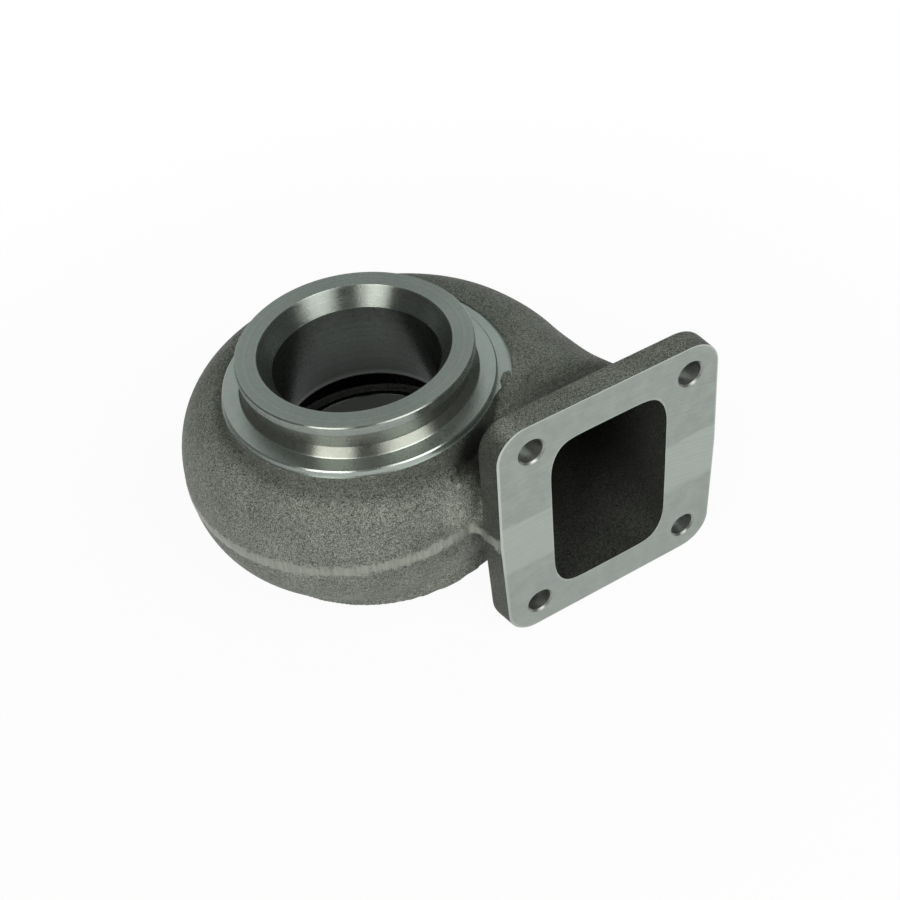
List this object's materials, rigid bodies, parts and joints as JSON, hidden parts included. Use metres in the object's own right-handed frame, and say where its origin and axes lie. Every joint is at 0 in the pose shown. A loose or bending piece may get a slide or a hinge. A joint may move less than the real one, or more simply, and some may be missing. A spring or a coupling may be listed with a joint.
{
  "type": "turbocharger turbine housing",
  "caption": "Cast iron turbine housing of a turbocharger, with a square bolted inlet flange, a volute scroll and a turned discharge collar with a clamp groove.",
  "frame": {"origin": "centre of the bearing-side face, on the turbine axis", "axes": "+Z along the turbine axis towards the discharge lip; the inlet flange is on the +X side and faces -Y"},
  "size_m": [0.2366, 0.2018, 0.137],
  "materials": {
    "cast_iron": "as cast, with milled and turned faces"
  },
  "bodies": {
    "root": {"turbine_housing": "cast_iron"}
  },
  "joints": []
}
